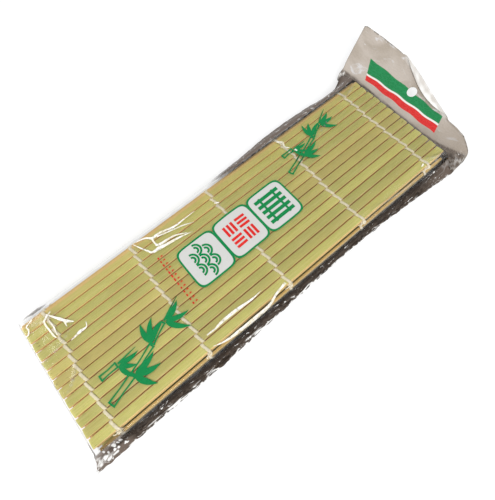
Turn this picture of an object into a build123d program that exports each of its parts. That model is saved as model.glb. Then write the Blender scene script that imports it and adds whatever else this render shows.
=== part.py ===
"""Sushi rolling mat of flat bamboo slats, folded in three and packed in a clear header bag.

X runs along the slats towards the bag's header, Y across them, Z up.
The origin is on the underside of the back film, under the middle of the mat's top panel.
"""

from build123d import *
import os

# Slats
slat_length = 240.0
slat_width = 4.8
slat_thickness = 1.8
slat_gap = 0.66
crown_rise = 0.25
back_bevel = 0.2
first_panel_count = 14
other_panel_count = 13
bend_at_fold = 91.55

# Threads, twined round every slat
thread_count = 5
thread_margin = 14.0
thread_shift = -1.0
stitch_width = 1.5
yarn_thickness = 0.6
strap_thickness = 0.25
strap_reach = 0.1
crown_run = 0.65
stitch_ease = 0.03

# Knots at the two free edges
knot_radius = 0.95
knot_length = 1.9
knot_chamfer = 0.3
knot_sides = 8
tail_radius = 0.45
tail_length = 3.2
tail_sides = 6

# Bag
film = 0.2
film_ease = 0.15
bag_near_edge = -44.5
bag_far_edge = 44.5
near_shoulder = -37.6
near_waist = -39.2
near_waist_share = 0.7
near_knee = -40.6
near_knee_share = 0.35
near_hem = -42.4
near_hem_share = 0.13
far_shoulder = 40.4
mouth_margin = 4.0
end_margin = 0.8
end_run = 3.4

# Header
header_thickness = 0.4
header_length = 30.0
header_tilt = 30.0
header_near_edge = -47.0
header_far_edge = 52.0
header_step = 0.5
header_turn_length = 16.0
header_turn_start = 22.0
header_turn_end = -24.0
header_corner_radius = 3.0
hang_hole_radius = 3.0
hang_hole_drop = 5.5
hang_hole_place = 4.0

# Worked out from the sizes above
pitch = slat_width + slat_gap
half_width = slat_width / 2
half_thickness = slat_thickness / 2
stitch_height = half_thickness + yarn_thickness
strap_face = half_width + strap_thickness
first_fold = first_panel_count
second_fold = first_fold + 1 + other_panel_count
slat_count = second_fold + 1 + other_panel_count
thread_spacing = (slat_length - 2 * thread_margin) / (thread_count - 1)
bottom_slat_height = film + film_ease + stitch_height


def bend_before(index):
    """Angle between a slat and the one before it, in degrees, positive towards the skin."""
    if index in (first_fold, first_fold + 1):
        return bend_at_fold
    if index in (second_fold, second_fold + 1):
        return -bend_at_fold
    return 0.0


def next_slat(place, bend):
    """Place of the slat after the one at place, turned about the hinge line in the gap between them.

    The threads hinge at the level of the face that the mat bends towards.
    """
    level = -half_thickness if bend < 0 else half_thickness
    to_hinge = Location((0, -pitch / 2, level))
    from_hinge = Location((0, -pitch / 2, -level))
    return place * to_hinge * Location((0, 0, 0), (-bend, 0, 0)) * from_hinge


def slat_places():
    """Places of all slats, with the middle of the top panel over the origin."""
    places = [Location((0, 0, bottom_slat_height))]
    for index in range(1, slat_count):
        places.append(next_slat(places[-1], bend_before(index)))
    top = places[second_fold + 1 :]
    middle = (top[0].position.Y + top[-1].position.Y) / 2
    return [Location((0, -middle, 0)) * place for place in places]


# Bamboo strip with its curved skin up and its back edges eased
with BuildSketch() as slat_outline:
    with BuildLine():
        back = Polyline(
            (half_width, half_thickness - crown_rise),
            (half_width, back_bevel - half_thickness),
            (half_width - back_bevel, -half_thickness),
            (back_bevel - half_width, -half_thickness),
            (-half_width, back_bevel - half_thickness),
            (-half_width, half_thickness - crown_rise),
        )
        ThreePointArc(back @ 1, (0, half_thickness), back @ 0)
    make_face()

# One turn of thread round a slat: a crown on each face and a thin strap in the gap at each side
strap_top = half_thickness - strap_reach
crown_edge = strap_face - crown_run
with BuildSketch() as stitch_outline:
    with BuildLine():
        Polyline(
            (strap_face, strap_top),
            (crown_edge, stitch_height),
            (-crown_edge, stitch_height),
            (-strap_face, strap_top),
            (-strap_face, -strap_top),
            (-crown_edge, -stitch_height),
            (crown_edge, -stitch_height),
            (strap_face, -strap_top),
            close=True,
        )
    make_face()
    Rectangle(
        slat_width + 2 * stitch_ease,
        slat_thickness + 2 * stitch_ease,
        mode=Mode.SUBTRACT,
    )

# Knot seated on the outer strap of an end slat, and the loose tail of the thread beyond it
knot_place = strap_face + stitch_ease + knot_radius
with BuildSketch() as knot_outline:
    with Locations((knot_place, 0)):
        RegularPolygon(knot_radius, knot_sides, major_radius=False, rotation=180 / knot_sides)
with BuildSketch() as tail_outline:
    with Locations((knot_place, 0)):
        RegularPolygon(tail_radius, tail_sides)

places = slat_places()
thread_places = [
    thread_shift + thread_spacing * (number - (thread_count - 1) / 2)
    for number in range(thread_count)
]
header_line = slat_length / 2 + end_margin + end_run
turn_share = (hang_hole_place - header_turn_end) / (header_turn_start - header_turn_end)
edge_over_hole = header_turn_length + (header_length - header_turn_length) * turn_share
hang_hole_rise = edge_over_hole - hang_hole_drop
top_height = places[-1].position.Z + stitch_height + film_ease + film

os.makedirs("parts", exist_ok=True)

# One slat with its five stitches, in its own frame: X along it, Z out of its skin
with BuildPart() as slat:
    with BuildSketch(Plane.YZ):
        add(slat_outline.sketch)
    extrude(amount=slat_length / 2, both=True)
    for along in thread_places:
        with BuildSketch(Plane.YZ.offset(along)):
            add(stitch_outline.sketch)
        extrude(amount=stitch_width / 2, both=True)

# One knot with the loose tail of its thread, on the outer side of an end slat
with BuildPart() as knot:
    with BuildSketch(Plane.YZ.offset(-knot_length / 2)):
        add(knot_outline.sketch)
    extrude(amount=knot_length)
    chamfer(knot.faces().filter_by(Axis.X).edges(), knot_chamfer)
    with BuildSketch(Plane.YZ):
        add(tail_outline.sketch)
    extrude(amount=knot_length / 2 + tail_length)

# Slats from the free edge of the bottom panel to that of the top one
for index, place in enumerate(places):
    with BuildPart() as placed_slat:
        with Locations(place):
            add(slat.part)
    name = f"slat_{index + 1:02d}"
    placed_slat.part.label = name
    export_step(placed_slat.part, f"parts/{name}.step")

# Knots of every thread at the two free edges
first_edge = places[0]
last_edge = places[-1] * Location((0, 0, 0), (0, 0, 180))
for name, edge in (("knots_first_edge", first_edge), ("knots_last_edge", last_edge)):
    with BuildPart() as placed_knots:
        with Locations([edge * Location((along, 0, 0)) for along in thread_places]):
            add(knot.part)
    placed_knots.part.label = name
    export_step(placed_knots.part, f"parts/{name}.step")

# Back film, flat under the mat
mouth = -slat_length / 2 - mouth_margin
with BuildPart() as film_back:
    with BuildSketch():
        with Locations(((mouth + header_line) / 2, (bag_near_edge + bag_far_edge) / 2)):
            Rectangle(header_line - mouth, bag_far_edge - bag_near_edge)
    extrude(amount=film)
film_back.part.label = "film_back"
export_step(film_back.part, "parts/film_back.step")

# Front film, over the mat, open at the mouth and sloping down to the header
# Its near side clings to the stack and then runs out flat to the seal
with BuildPart() as film_front:
    with BuildSketch(Plane.YZ.offset(mouth)):
        with BuildLine():
            Polyline(
                (bag_near_edge, film),
                (near_hem, top_height * near_hem_share),
                (near_knee, top_height * near_knee_share),
                (near_waist, top_height * near_waist_share),
                (near_shoulder, top_height),
                (far_shoulder, top_height),
                (bag_far_edge, film),
                close=True,
            )
        make_face()
    extrude(amount=header_line - mouth)
    with BuildSketch(Plane.XZ):
        with BuildLine():
            Polyline(
                (mouth, film),
                (mouth, top_height),
                (header_line - end_run, top_height),
                (header_line, 2 * film),
                (header_line, film),
                close=True,
            )
        make_face()
    extrude(amount=bag_far_edge - bag_near_edge, both=True, mode=Mode.INTERSECT)
    open_faces = [film_front.faces().sort_by(Axis.X)[0], film_front.faces().sort_by(Axis.Z)[0]]
    offset(amount=-film, openings=open_faces)
film_front.part.label = "film_front"
export_step(film_front.part, "parts/film_front.step")

# Header, turned up beyond the packet, with one corner curled away and a hang hole
header_plane = Plane(
    origin=(header_line, 0, film), x_dir=(0, 1, 0), z_dir=(0, 0, 1)
).rotated((0, -header_tilt, 0))
with BuildPart() as header_flap:
    with BuildSketch(header_plane) as header_outline:
        with BuildLine():
            Polyline(
                (header_near_edge, -header_step),
                (header_far_edge, -header_step),
                (header_far_edge, -header_length),
                (header_turn_start, -header_length),
                (header_turn_end, -header_turn_length),
                (header_near_edge, -header_turn_length),
                close=True,
            )
        make_face()
        fillet(header_outline.vertices().group_by(Axis.Y)[0], header_corner_radius)
    extrude(amount=header_thickness)
    with Locations(header_plane):
        with Locations((hang_hole_place, -hang_hole_rise)):
            Hole(hang_hole_radius)
header_flap.part.label = "header_flap"
export_step(header_flap.part, "parts/header_flap.step")
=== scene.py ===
"""Sushi rolling mat of flat bamboo slats, folded in three inside a clear header bag.

Lengths in the settings are in metres. Inside the shape functions they are in millimetres,
and the objects are made in metres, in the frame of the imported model.
"""

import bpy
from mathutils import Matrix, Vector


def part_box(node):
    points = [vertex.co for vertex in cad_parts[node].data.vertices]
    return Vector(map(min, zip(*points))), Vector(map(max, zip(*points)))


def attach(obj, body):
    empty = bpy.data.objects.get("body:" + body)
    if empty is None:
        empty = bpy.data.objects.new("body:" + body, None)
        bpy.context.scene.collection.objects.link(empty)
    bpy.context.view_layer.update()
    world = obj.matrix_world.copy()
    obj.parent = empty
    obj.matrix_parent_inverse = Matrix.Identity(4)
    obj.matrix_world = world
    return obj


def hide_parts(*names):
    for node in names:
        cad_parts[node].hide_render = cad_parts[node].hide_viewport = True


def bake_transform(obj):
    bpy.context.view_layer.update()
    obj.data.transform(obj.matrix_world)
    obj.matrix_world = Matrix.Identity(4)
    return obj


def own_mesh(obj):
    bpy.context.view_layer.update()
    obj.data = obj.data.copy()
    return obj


bl_info = {
    "name": "Sushi Rolling Mat",
    "version": (1, 0, 0),
    "blender": (4, 5, 0),
    "location": "3D View > Sidebar > Rolling Mat",
    "description": "Builds a folded bamboo rolling mat in its header bag, on a studio floor",
    "category": "Add Mesh",
}

import math
import random

import bmesh
import bpy
from mathutils import Matrix, Vector, noise

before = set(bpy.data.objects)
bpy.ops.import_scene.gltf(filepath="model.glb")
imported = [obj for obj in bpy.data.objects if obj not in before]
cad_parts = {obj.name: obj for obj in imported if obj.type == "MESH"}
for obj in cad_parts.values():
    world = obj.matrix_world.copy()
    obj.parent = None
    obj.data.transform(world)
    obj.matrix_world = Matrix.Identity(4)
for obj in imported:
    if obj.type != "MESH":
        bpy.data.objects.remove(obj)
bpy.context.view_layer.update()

MM = 0.001

# Slats: how many lie in each panel, and the height of the lowest one's underside over the packet's
FIRST_PANEL = 14
OTHER_PANELS = 13
FIRST_FOLD = FIRST_PANEL
SECOND_FOLD = FIRST_FOLD + 1 + OTHER_PANELS
SLAT_COUNT = SECOND_FOLD + 1 + OTHER_PANELS
FIRST_TOP_SLAT = SECOND_FOLD + 2
LOWEST_SLAT = 0.95
# Steps along a slat, the share of thickness its worn ends keep, its sharp edges, and the reach of end stains
SLAT_STEPS = 34
SLAT_END = 0.93
SLAT_SHARP = math.radians(28.0)
STAIN_REACH = 16.0

# Threads: how many there are, and where along the slats their middle one lies
THREADS = 5
THREADS_MIDDLE = -1.0
# A yarn's corners and the swell of its plies, and its run over a slat: place across it and share of height
YARN_SIDES = 8
YARN_RIDGE = 0.13
YARN_RUN = [(0.0, 1.0), (0.95, 0.99), (1.70, 0.96), (2.24, 0.86), (2.52, 0.66), (2.66, 0.36)]
# The steps round a knot
KNOT_STEPS = 48

# Sides and ends of the bag's film: places from the middle of the packet, and the share of its height there
NEAR_SIDE = [
    (-35.8, 1.0), (-37.8, 0.97), (-38.6, 0.84), (-39.4, 0.64), (-40.3, 0.42), (-41.3, 0.25),
    (-42.4, 0.14), (-43.4, 0.06), (-44.5, 0.0),
]
FAR_SIDE = [(35.4, 1.0), (38.4, 0.95), (40.2, 0.76), (41.6, 0.46), (43.3, 0.24), (44.2, 0.08), (44.5, 0.0)]
MOUTH_END = [(-119.8, 1.0), (-120.6, 0.93), (-121.5, 0.78), (-122.0, 0.6)]
HEADER_END = [(119.6, 1.0), (120.8, 0.9), (122.2, 0.6), (123.4, 0.28), (124.2, 0.0)]
# Where the near edge of the film lies, and how far its far side stands out, at places along the packet
NEAR_EDGE = [
    (-124.0, -43.6), (-108.0, -43.2), (-46.0, -43.4), (-13.0, -42.4), (17.0, -41.6), (42.0, -41.4),
    (70.0, -42.4), (100.0, -44.6), (114.0, -46.0), (124.2, -46.4),
]
FAR_BULGE = [
    (-30.0, 0.0), (10.0, 0.4), (26.0, 1.0), (45.0, 2.6), (64.0, 3.2), (84.0, 2.4),
    (96.0, 0.8), (106.0, 0.3), (113.0, 1.8), (124.2, 8.0),
]
# Where the near side starts to follow that edge, the end of the back film and the reach of the loose corner
NEAR_START = NEAR_SIDE[1][0]
BACK_MOUTH = -123.6
CORNER_REACH = 5.6
# Heights of the front film at its seals and over the mat
SEAL_HEIGHT = 0.36
TOP_HEIGHT = 13.78

# Fine creases in the front film: two ends, width and height
CREASES = [
    ((-116, 33), (-100, 30), 0.7, 0.4),
    ((-119, 12), (-98, 20), 0.6, 0.3),
    ((-119, -8), (-106, 2), 0.6, 0.3),
    ((60, -34), (98, -37), 0.6, 0.35),
    ((100, 30), (118, 35), 0.7, 0.5),
    ((104, -30), (119, -36), 0.8, 0.5),
    ((70, 20), (92, 30), 0.4, 0.25),
    ((-6, 26), (2, 24), 0.6, 0.3),
]

# Painted glare on the front film, white strokes in place of highlights: the places they run through, and
# their width at each
PAINTED_GLARE_STROKES = [
    [(-113.2, 35.0, 0.8), (-117.0, 33.6, 1.1), (-117.0, 31.3, 1.0), (-118.4, 29.2, 1.0),
     (-119.7, 29.8, 0.4)],
    [(-103.8, 32.4, 0.7), (-107.0, 31.0, 1.3), (-108.9, 28.9, 1.3), (-108.7, 24.6, 1.1),
     (-108.3, 20.8, 1.5), (-107.7, 18.6, 0.5)],
    [(-106.5, 29.4, 0.4), (-106.2, 24.0, 0.9), (-106.8, 19.8, 0.5)],
    [(-106.2, 32.4, 0.8), (-102.2, 26.3, 1.9), (-99.6, 22.6, 2.2), (-97.0, 20.2, 0.4)],
    [(-100.6, 24.4, 1.8), (-100.8, 22.2, 1.4), (-101.0, 20.3, 0.3)],
    [(-92.4, 16.1, 0.4), (-93.6, 13.8, 0.9), (-97.3, 13.8, 2.2), (-100.6, 13.2, 1.1),
     (-102.8, 13.0, 0.3)],
    [(-49.9, -28.8, 0.9), (-44.5, -28.9, 1.2), (-40.0, -28.4, 2.0), (-31.1, -28.6, 2.3),
     (-21.3, -29.4, 1.2), (-15.0, -29.0, 0.2)],
    [(-50.6, -35.0, 0.4), (-45.8, -36.5, 1.0), (-38.5, -37.3, 1.9), (-24.4, -37.6, 2.1),
     (-16.9, -37.4, 1.7), (-9.4, -35.2, 1.5), (-3.2, -34.2, 1.9)],
    [(-50.8, 35.6, 0.5), (-44.4, 34.2, 1.3), (-41.0, 31.6, 2.0), (-36.0, 31.4, 1.7),
     (-28.3, 29.3, 1.5), (-20.7, 29.3, 1.0), (-13.5, 29.4, 0.2)],
    [(-38.6, 30.6, 1.3), (-29.0, 28.0, 1.0), (-23.7, 26.6, 0.9), (-18.0, 24.2, 0.2)],
    [(-51.2, 35.2, 0.5), (-49.6, 31.7, 0.9), (-47.4, 27.4, 1.3), (-45.6, 24.6, 1.7),
     (-41.6, 24.2, 2.9), (-34.7, 23.0, 2.1), (-29.0, 22.0, 1.3), (-22.0, 20.2, 0.3)],
    [(-41.4, 31.2, 1.4), (-41.6, 28.0, 1.2), (-40.4, 26.0, 2.0), (-31.3, 24.8, 1.4),
     (-24.6, 21.6, 0.3)],
    [(-2.6, 25.6, 0.4), (-1.2, 25.0, 1.1), (0.2, 24.2, 0.4)],
    [(50.8, 33.4, 0.9), (53.2, 30.8, 2.0), (52.2, 27.6, 1.2), (54.0, 25.0, 0.4)],
    [(55.6, 22.4, 1.6), (56.0, 20.8, 1.0)],
    [(101.2, -34.0, 0.7), (103.4, -33.4, 1.2)],
]


def linear(red, green, blue):
    """Scene colour of a screen colour written from 0 to 255."""
    out = []
    for part in (red, green, blue):
        c = part / 255
        out.append(c / 12.92 if c <= 0.04045 else ((c + 0.055) / 1.055) ** 2.4)
    return tuple(out)


# White of the painted highlights on the film and the header
PAINTED_HIGHLIGHT_WHITE = linear(246, 245, 242)


def size(name, text, default):
    """A length setting in metres."""
    return bpy.props.FloatProperty(
        name=name, description=text, default=default, min=0.0, unit="LENGTH", subtype="DISTANCE", precision=5)


def paint(name, text, default):
    """A colour setting."""
    return bpy.props.FloatVectorProperty(
        name=name, description=text, default=default, min=0.0, max=1.0, size=3, subtype="COLOR")


class RollingMatSizes(bpy.types.PropertyGroup):
    """Sizes of the slats, threads and bag."""

    slat_length: size("Slat Length", "Length of every bamboo slat", 0.240)
    slat_width: size("Slat Width", "Width of a slat across its grain", 0.00498)
    slat_thickness: size("Slat Thickness", "Thickness at the middle of a slat", 0.0018)
    slat_gap: size("Slat Gap", "Gap between two slats, filled by the crossing threads", 0.00048)
    crown: size("Crown", "How far the skin rises from a slat's edge to its middle", 0.00025)
    thread_spacing: size("Thread Spacing", "Distance between two lines of thread", 0.053)
    yarn_width: size("Yarn Width", "Width of one yarn where it crosses a slat", 0.0017)
    yarn_height: size("Yarn Height", "Height of one yarn above the slat", 0.0006)
    yarn_slant: size("Yarn Slant", "How far a yarn moves sideways over one slat", 0.0013)
    bend_at_fold: bpy.props.FloatProperty(
        name="Bend at Fold", description="Turn at each of the two hinges of a fold",
        default=math.radians(91.55), unit="ROTATION", subtype="ANGLE")


class RollingMatFinishes(bpy.types.PropertyGroup):
    """Colours of the bamboo, thread, film and print."""

    skin: paint("Bamboo Skin", "Green side of the bamboo", linear(221, 218, 136))
    skin_dark: paint("Dark Bamboo Skin", "Darker fibres of the green side", linear(192, 188, 98))
    wood: paint("Bamboo Wood", "Cut sides and back of the bamboo", linear(255, 218, 150))
    yarn: paint("Cotton Yarn", "Undyed cotton thread", linear(255, 249, 230))
    # Painted shade of the bag's film at its margins and ends
    painted_film_shade: paint("Film Shade", "Grey of the film where it is folded or stands off", linear(88, 77, 68))
    header: paint("Header Film", "Doubled film of the header", linear(192, 181, 170))
    green_ink: paint("Green Ink", "Green print on the film", linear(0, 126, 66))
    red_ink: paint("Red Ink", "Red print on the film", linear(212, 34, 30))
    tile_ink: paint("Tile Ink", "Pale print under the marks", linear(202, 202, 199))


# Meshes

def make_piece(name, points, faces, material, uv=None, values=None):
    """A mesh object from points in millimetres, with a UV pair and named values for each point."""
    mesh = bpy.data.meshes.new(name)
    mesh.from_pydata([tuple(c * MM for c in p) for p in points], [], faces)
    mesh.update()
    if uv:
        layer = mesh.uv_layers.new(name="grain")
        corner_points = [0] * len(mesh.loops)
        mesh.loops.foreach_get("vertex_index", corner_points)
        layer.data.foreach_set("uv", [number for index in corner_points for number in uv[index]])
    for key, numbers in (values or {}).items():
        attribute = mesh.attributes.new(key, "FLOAT", "POINT")
        attribute.data.foreach_set("value", [float(number) for number in numbers])
    mesh.polygons.foreach_set("use_smooth", [True] * len(mesh.polygons))
    mesh.materials.append(material)
    piece = bpy.data.objects.new(name, mesh)
    bpy.context.scene.collection.objects.link(piece)
    return piece


def between(table, x):
    """Value at x on the straight lines between a table's points."""
    if (x - table[0][0]) * (table[-1][0] - table[0][0]) <= 0:
        return table[0][1]
    for (x0, y0), (x1, y1) in zip(table, table[1:]):
        if min(x0, x1) <= x <= max(x0, x1):
            return y0 + (y1 - y0) * (x - x0) / (x1 - x0)
    return table[-1][1]


def smooth_share(x, low, high):
    """0 below low and 1 above high, with a smooth rise between them."""
    t = min(1.0, max(0.0, (x - low) / (high - low)))
    return t * t * (3 - 2 * t)


def spaced(first, last, step):
    """Evenly spaced numbers from first to last."""
    count = max(1, round(abs(last - first) / step))
    return [first + (last - first) * k / count for k in range(count + 1)]


def spread(stops, steps):
    """Numbers from the first stop to the last, with a step of its own between each two stops."""
    out = [stops[0]]
    for first, last, step in zip(stops, stops[1:], steps):
        out += spaced(first, last, step)[1:]
    return out


def spline_points(route, steps):
    """Points along a smooth curve through all points of a route."""
    ends = [route[0] * 2 - route[1]] + list(route) + [route[-1] * 2 - route[-2]]
    out = []
    for a, b, c, d in zip(ends, ends[1:], ends[2:], ends[3:]):
        for k in range(steps):
            t = k / steps
            square, cube = 2 * a - 5 * b + 4 * c - d, 3 * b - a - 3 * c + d
            out.append(0.5 * (2 * b + (c - a) * t + square * t * t + cube * t ** 3))
    out.append(route[-1])
    return out


def grid_faces(rows, width):
    """Faces between rows of points, with as many points in each row."""
    faces = []
    for i in range(rows - 1):
        for k in range(width - 1):
            a = i * width + k
            faces.append((a, a + 1, a + width + 1, a + width))
    return faces


def tube_faces(rings, around):
    """Faces of a tube between rings of points, with both ends closed."""
    faces = []
    for i in range(rings - 1):
        for k in range(around):
            a, b = i * around + k, i * around + (k + 1) % around
            faces.append((a, b, b + around, a + around))
    faces.append(tuple(reversed(range(around))))
    faces.append(tuple(range((rings - 1) * around, rings * around)))
    return faces


def turned(faces):
    """The same faces, looking the other way."""
    return [face[:1] + face[:0:-1] for face in faces]


class MeshLists:
    """Points, faces and UV pairs of a piece that is built from several parts."""

    def __init__(self):
        self.points, self.faces, self.uv = [], [], []

    def add(self, points, faces, uv):
        """Adds one part."""
        start = len(self.points)
        self.points.extend(points)
        self.uv.extend(uv)
        self.faces.extend(tuple(i + start for i in face) for face in faces)

    def piece(self, name, material):
        """The mesh object of all parts."""
        return make_piece(name, self.points, self.faces, material, self.uv)


class Sheet:
    """Rows of points of one skin, with a UV pair and the values for the material at each."""

    def __init__(self):
        self.points, self.uv, self.values = [], [], {}

    def point(self, place, uv, **values):
        """Adds the next point of a row."""
        self.points.append(place)
        self.uv.append(uv)
        for name, number in values.items():
            self.values.setdefault(name, []).append(number)

    def piece(self, name, faces, material):
        """The mesh object of the skin, from the faces between its points."""
        return make_piece(name, self.points, faces, material, self.uv, self.values)


def sweep(path, half_widths, half_heights, side, turns=5.0):
    """Points, faces and UV pairs of a twisted yarn along a path, wide along the side direction."""
    points, uv = [], []
    count = len(path)
    length = 0.0
    total = sum((b - a).length for a, b in zip(path, path[1:]))
    for i, p in enumerate(path):
        tangent = (path[min(i + 1, count - 1)] - path[max(i - 1, 0)]).normalized()
        across = (side - tangent * side.dot(tangent)).normalized()
        up = tangent.cross(across)
        if i:
            length += (p - path[i - 1]).length
        phase = 2 * math.pi * turns * length / total
        for k in range(YARN_SIDES):
            angle = 2 * math.pi * k / YARN_SIDES
            swell = 1 + YARN_RIDGE * math.cos(2 * angle - phase)
            sideways = across * (half_widths[i] * swell * math.cos(angle))
            upward = up * (half_heights[i] * swell * math.sin(angle))
            points.append(p + sideways + upward)
            uv.append((length, 3.0 * k / YARN_SIDES))
    return points, tube_faces(count, YARN_SIDES), uv


# Materials

class Nodes:
    """A short way to write a material's nodes."""

    def __init__(self, name, **sockets):
        self.material = bpy.data.materials.new(name)
        self.material.use_nodes = True
        self.tree = self.material.node_tree
        self.tree.nodes.clear()
        self.output = self.tree.nodes.new("ShaderNodeOutputMaterial")
        self.shader = self.node("ShaderNodeBsdfPrincipled", **sockets)
        self.surface(self.shader.outputs["BSDF"])

    def node(self, kind, settings=None, **inputs):
        """A node with its settings, and a value or a link for each input that is named."""
        made = self.tree.nodes.new(kind)
        for key, setting in (settings or {}).items():
            setattr(made, key, setting)
        for key, value in inputs.items():
            self.put(value, made.inputs[key.replace("_", " ")])
        return made

    def put(self, value, socket):
        """Links a socket to another one, or sets its value."""
        if isinstance(value, bpy.types.NodeSocket):
            self.tree.links.new(value, socket)
        elif socket.type == "RGBA" and len(value) == 3:
            socket.default_value = (*value, 1.0)
        else:
            socket.default_value = value

    def surface(self, shader):
        """Makes a shader the one that is seen."""
        self.put(shader, self.output.inputs["Surface"])

    def colour(self, value):
        """Sets the colour of the main shader."""
        self.put(value, self.shader.inputs["Base Color"])

    def rough(self, value):
        """Sets its roughness."""
        self.put(value, self.shader.inputs["Roughness"])

    def normal(self, value):
        """Sets its surface direction."""
        self.put(value, self.shader.inputs["Normal"])

    def value(self, name):
        """A named value of the mesh."""
        return self.node("ShaderNodeAttribute", {"attribute_name": name}).outputs["Fac"]

    def uv(self, scale_u, scale_v):
        """The UV pair, scaled."""
        grain = self.node("ShaderNodeUVMap", {"uv_map": "grain"})
        mapping = self.node("ShaderNodeMapping", Vector=grain.outputs["UV"], Scale=(scale_u, scale_v, 1.0))
        return mapping.outputs["Vector"]

    def place(self, scale_x, scale_y, scale_z):
        """The place on the piece, scaled."""
        where = self.node("ShaderNodeTexCoord").outputs["Object"]
        mapping = self.node("ShaderNodeMapping", Vector=where, Scale=(scale_x, scale_y, scale_z))
        return mapping.outputs["Vector"]

    def noise(self, vector, scale, detail=2.0, roughness=0.5, distortion=0.0):
        """Cloudy noise."""
        made = self.node("ShaderNodeTexNoise", Vector=vector, Scale=scale, Detail=detail,
                         Roughness=roughness, Distortion=distortion)
        return made.outputs["Fac"]

    def ramp(self, factor, low, high, start=0.0, end=1.0, kind="SMOOTHSTEP"):
        """A value that goes from start to end while the factor goes from low to high."""
        made = self.node("ShaderNodeMapRange", {"interpolation_type": kind}, Value=factor,
                         From_Min=low, From_Max=high, To_Min=start, To_Max=end)
        return made.outputs["Result"]

    def math(self, operation, a, b=0.0):
        """Two numbers put together."""
        made = self.node("ShaderNodeMath", {"operation": operation})
        self.put(a, made.inputs[0])
        self.put(b, made.inputs[1])
        return made.outputs[0]

    def most(self, *numbers):
        """The largest of some numbers."""
        out = numbers[0]
        for number in numbers[1:]:
            out = self.math("MAXIMUM", out, number)
        return out

    def mix(self, factor, a, b):
        """A colour between two."""
        made = self.node("ShaderNodeMix", {"data_type": "RGBA"})
        self.put(factor, made.inputs["Factor"])
        self.put(a, made.inputs[6])
        self.put(b, made.inputs[7])
        return made.outputs[2]

    def mix_shaders(self, share, a, b):
        """A shader between two."""
        made = self.node("ShaderNodeMixShader")
        for socket, value in zip(made.inputs, (share, a, b)):
            self.put(value, socket)
        return made.outputs[0]

    def bump(self, height, strength, distance):
        """A surface direction that follows a height."""
        made = self.node("ShaderNodeBump", Height=height, Strength=strength, Distance=distance)
        return made.outputs["Normal"]


def bamboo_material(paints):
    """Bamboo strip: waxy green skin with long fibres, pale cut sides and back."""
    straw, ochre, ripe = linear(226, 216, 148), linear(204, 190, 110), linear(222, 202, 126)
    fibre, stain = linear(222, 184, 120), linear(92, 62, 26)
    n = Nodes("bamboo_strip", Specular_IOR_Level=0.42)
    fine = n.noise(n.uv(0.035, 5.0), 3.0, 4.0, 0.62)
    broad = n.noise(n.uv(0.012, 0.55), 2.2, 2.0, 0.5, 0.3)
    cloud = n.noise(n.uv(0.03, 0.03), 1.3, 2.0)
    green = n.mix(n.ramp(fine, 0.36, 0.68), tuple(paints.skin), tuple(paints.skin_dark))
    green = n.mix(n.ramp(broad, 0.42, 0.7, 0.0, 0.55), green, straw)
    green = n.mix(n.ramp(cloud, 0.5, 0.75, 0.0, 0.35), green, ochre)
    tan = n.mix(n.ramp(fine, 0.32, 0.7), tuple(paints.wood), fibre)
    toned = n.node("ShaderNodeVectorMath", {"operation": "SCALE"})
    n.put(n.mix(n.value("skin"), tan, green), toned.inputs[0])
    n.put(n.ramp(n.value("tone"), 0.0, 1.0, 0.86, 1.1), toned.inputs["Scale"])
    warmed = n.mix(n.ramp(n.value("warm"), 0.25, 1.0, 0.0, 0.5), toned.outputs[0], ripe)
    specks = n.ramp(n.noise(n.uv(0.28, 0.9), 1.0, 3.0, 0.6), 0.63, 0.70)
    n.colour(n.mix(n.math("MULTIPLY", specks, n.value("ends")), warmed, stain))
    n.rough(n.ramp(fine, 0.2, 0.8, 0.36, 0.56))
    n.normal(n.bump(fine, 0.35, 0.00012))
    return n.material


def yarn_material(paints):
    """Cotton yarn: pale twisted plies with soft fuzz, and painted shade in the grooves between the plies."""
    painted_groove_shade, tuft = linear(242, 229, 196), linear(252, 248, 232)
    n = Nodes("cotton_yarn", Roughness=0.88, Sheen_Weight=0.25, Specular_IOR_Level=0.2)
    wave = n.node("ShaderNodeTexWave", {"wave_type": "BANDS", "bands_direction": "DIAGONAL"},
                  Vector=n.uv(0.8, 1.2), Scale=1.0, Distortion=0.6)
    plies = wave.outputs["Fac"]
    fuzz = n.noise(n.uv(2.2, 2.2), 2.0, 3.0)
    # Painted shade in the grooves between the plies
    soft = n.mix(n.ramp(plies, 0.05, 0.5), painted_groove_shade, tuple(paints.yarn))
    n.colour(n.mix(n.ramp(fuzz, 0.52, 0.75, 0.0, 0.4), soft, tuft))
    n.normal(n.bump(n.math("ADD", plies, fuzz), 0.4, 0.00012))
    return n.material


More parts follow.
